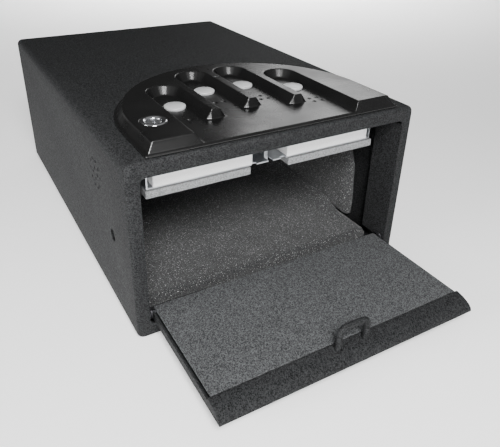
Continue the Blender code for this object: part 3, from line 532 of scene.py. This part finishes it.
def side_edit(point, a, b):
    """The wall sheet's front end leans back and curls away near the top, and its top edge waves."""
    lean = LEAN * max(0.0, b - LEAN_FROM) + CURL * max(0.0, b - CURL_FROM)
    lean += wave(1.6 * MM, point.z * 45, 1.7, 0)
    point.y += max(0.0, lean + 1.2 * MM) * max(0.0, 1 - a * LEAN_FADE)
    drop = 2.2 * MM + wave(3.0 * MM, point.y * 16, 5.5, 0) + wave(0.8 * MM, point.y * 70, 2, 0)
    point.z -= max(0.0, drop) * max(0.0, b * 2 - 1)


def floor_sheet():
    return foam_slab(
        "floor_foam_sheet", "floor_foam", ((X, Y, Z), 1), 1.7 * MM, 4 * MM, 0.7 * MM, floor_edit
    )


def side_sheet(side, facing):
    name, axes = f"side_foam_sheet_{side}", ((Y, Z, X), facing)
    return foam_slab(name, f"side_foam_{side}", axes, 1.8 * MM, 4.5 * MM, 0.8 * MM, side_edit)


def ceiling_strip(side):
    name, axes = f"ceiling_foam_strip_{side}", ((X, Y, Z), -1)
    return foam_slab(name, f"ceiling_foam_{side}", axes, 1.5 * MM, 1.2 * MM, 0.25 * MM)


pads = [
    floor_sheet(),
    side_sheet("left", 1),
    side_sheet("right", -1),
    ceiling_strip("left"),
    ceiling_strip("right"),
]


# ---------------------------------------------------------------- stage, light and camera

FLOOR_SIZE = 4.0
FLOOR_GLOW = 0.28


def make_floor():
    """A pale matt floor that glows faintly, so that only soft shadows show on it."""
    bm = bmesh.new()
    bmesh.ops.create_grid(bm, x_segments=1, y_segments=1, size=FLOOR_SIZE)
    mesh = bpy.data.meshes.new("floor")
    bm.to_mesh(mesh)
    bm.free()
    floor = bpy.data.objects.new("floor", mesh)
    bpy.context.scene.collection.objects.link(floor)
    f = Finish("finish_floor", 0.9, specular=0.1)
    f.socket("Base Color", (0.86, 0.86, 0.86, 1))
    f.socket("Emission Color", WHITE).socket("Emission Strength", FLOOR_GLOW)
    mesh.materials.append(f.mat)


# The sky is brightest round DOME_TOP. As the cosine of the angle to it goes through DOME_FADE, the
# strength goes through DOME_STRENGTH.
DOME_TOP = (0.0, -0.42, 0.91)
DOME_FADE = (0.1, 0.62)
DOME_STRENGTH = (0.05, 0.26)


def make_world():
    """A studio lit from above and from the viewer's side, with a darker far side.

    The camera itself sees a white backdrop, brighter than the light that the objects get from it.
    """
    world = bpy.data.worlds.new("studio")
    world.use_nodes = True
    tree = world.node_tree
    toward = tree.nodes.new("ShaderNodeTexCoord").outputs["Generated"]
    lean = tree.nodes.new("ShaderNodeVectorMath")
    lean.operation = "DOT_PRODUCT"
    tree.links.new(toward, lean.inputs[0])
    lean.inputs[1].default_value = DOME_TOP
    fade = tree.nodes.new("ShaderNodeMapRange")
    fade.interpolation_type = "SMOOTHSTEP"
    tree.links.new(lean.outputs["Value"], fade.inputs["Value"])
    for key, number in zip(RANGE_SOCKETS, (*DOME_FADE, *DOME_STRENGTH)):
        fade.inputs[key].default_value = number
    seen = tree.nodes.new("ShaderNodeLightPath").outputs["Is Camera Ray"]
    strength = tree.nodes.new("ShaderNodeMath")
    strength.operation = "MAXIMUM"
    tree.links.new(fade.outputs["Result"], strength.inputs[0])
    tree.links.new(seen, strength.inputs[1])
    background = tree.nodes["Background"]
    background.inputs["Color"].default_value = WHITE
    tree.links.new(strength.outputs["Value"], background.inputs["Strength"])
    bpy.context.scene.world = world


MIDDLE = (0, -0.05, 0.06)

# Each lamp's name, place, target, diameter in metres, power in watts and spread in degrees.
LAMPS = [
    ("key_light", (-1.1, -0.12, 0.3), MIDDLE, 0.5, 12, 180),
    ("fill_light", (-0.5, -1.25, 0.2), MIDDLE, 0.6, 12, 180),
    ("top_light", (-0.2, -0.64, 0.6), (0, -0.14, 0.06), 0.3, 13, 180),
    ("back_light", (0.95, 1.0, 0.75), (0.02, -0.12, 0.12), 0.6, 2.8, 180),
    ("backdrop_light", (0.9, 1.6, 1.6), (0.75, 1.3, 0), 1.0, 30, 60),
]


def make_lamp(name, place, target, diameter, power, spread):
    data = bpy.data.lights.new(name, "AREA")
    data.shape = "DISK"
    data.size = diameter
    data.energy = power
    data.spread = math.radians(spread)
    lamp = bpy.data.objects.new(name, data)
    lamp.location = place
    lamp.rotation_mode = "QUATERNION"
    lamp.rotation_quaternion = (Vector(place) - Vector(target)).to_track_quat("Z", "Y")
    lamp.visible_camera = False
    bpy.context.scene.collection.objects.link(lamp)


CAMERA_PLACE = (-0.1769, -0.4054, 0.2475)
CAMERA_ANGLES = (-29.97, 28.19, 1.13)
CAMERA_LENS = 39.75
CAMERA_SHIFT = (0.015, -0.075)


def make_camera():
    """Looks from the front left and above. CAMERA_ANGLES holds azimuth, elevation and roll in degrees."""
    azimuth, elevation, roll = (math.radians(angle) for angle in CAMERA_ANGLES)
    level = math.cos(elevation)
    back = Vector((math.sin(azimuth) * level, -math.cos(azimuth) * level, math.sin(elevation)))
    right = (-back).cross(Vector((0, 0, 1))).normalized()
    up = right.cross(-back)
    across = right * math.cos(roll) + up * math.sin(roll)
    upward = up * math.cos(roll) - right * math.sin(roll)
    matrix = Matrix((across, upward, back)).transposed().to_4x4()
    matrix.translation = CAMERA_PLACE
    data = bpy.data.cameras.new("camera")
    data.lens = CAMERA_LENS
    data.sensor_width = 36
    data.shift_x, data.shift_y = CAMERA_SHIFT
    data.clip_start = 0.01
    camera = bpy.data.objects.new("camera", data)
    camera.matrix_world = matrix
    bpy.context.scene.collection.objects.link(camera)
    bpy.context.scene.camera = camera


make_floor()
make_world()
for lamp in LAMPS:
    make_lamp(*lamp)
make_camera()
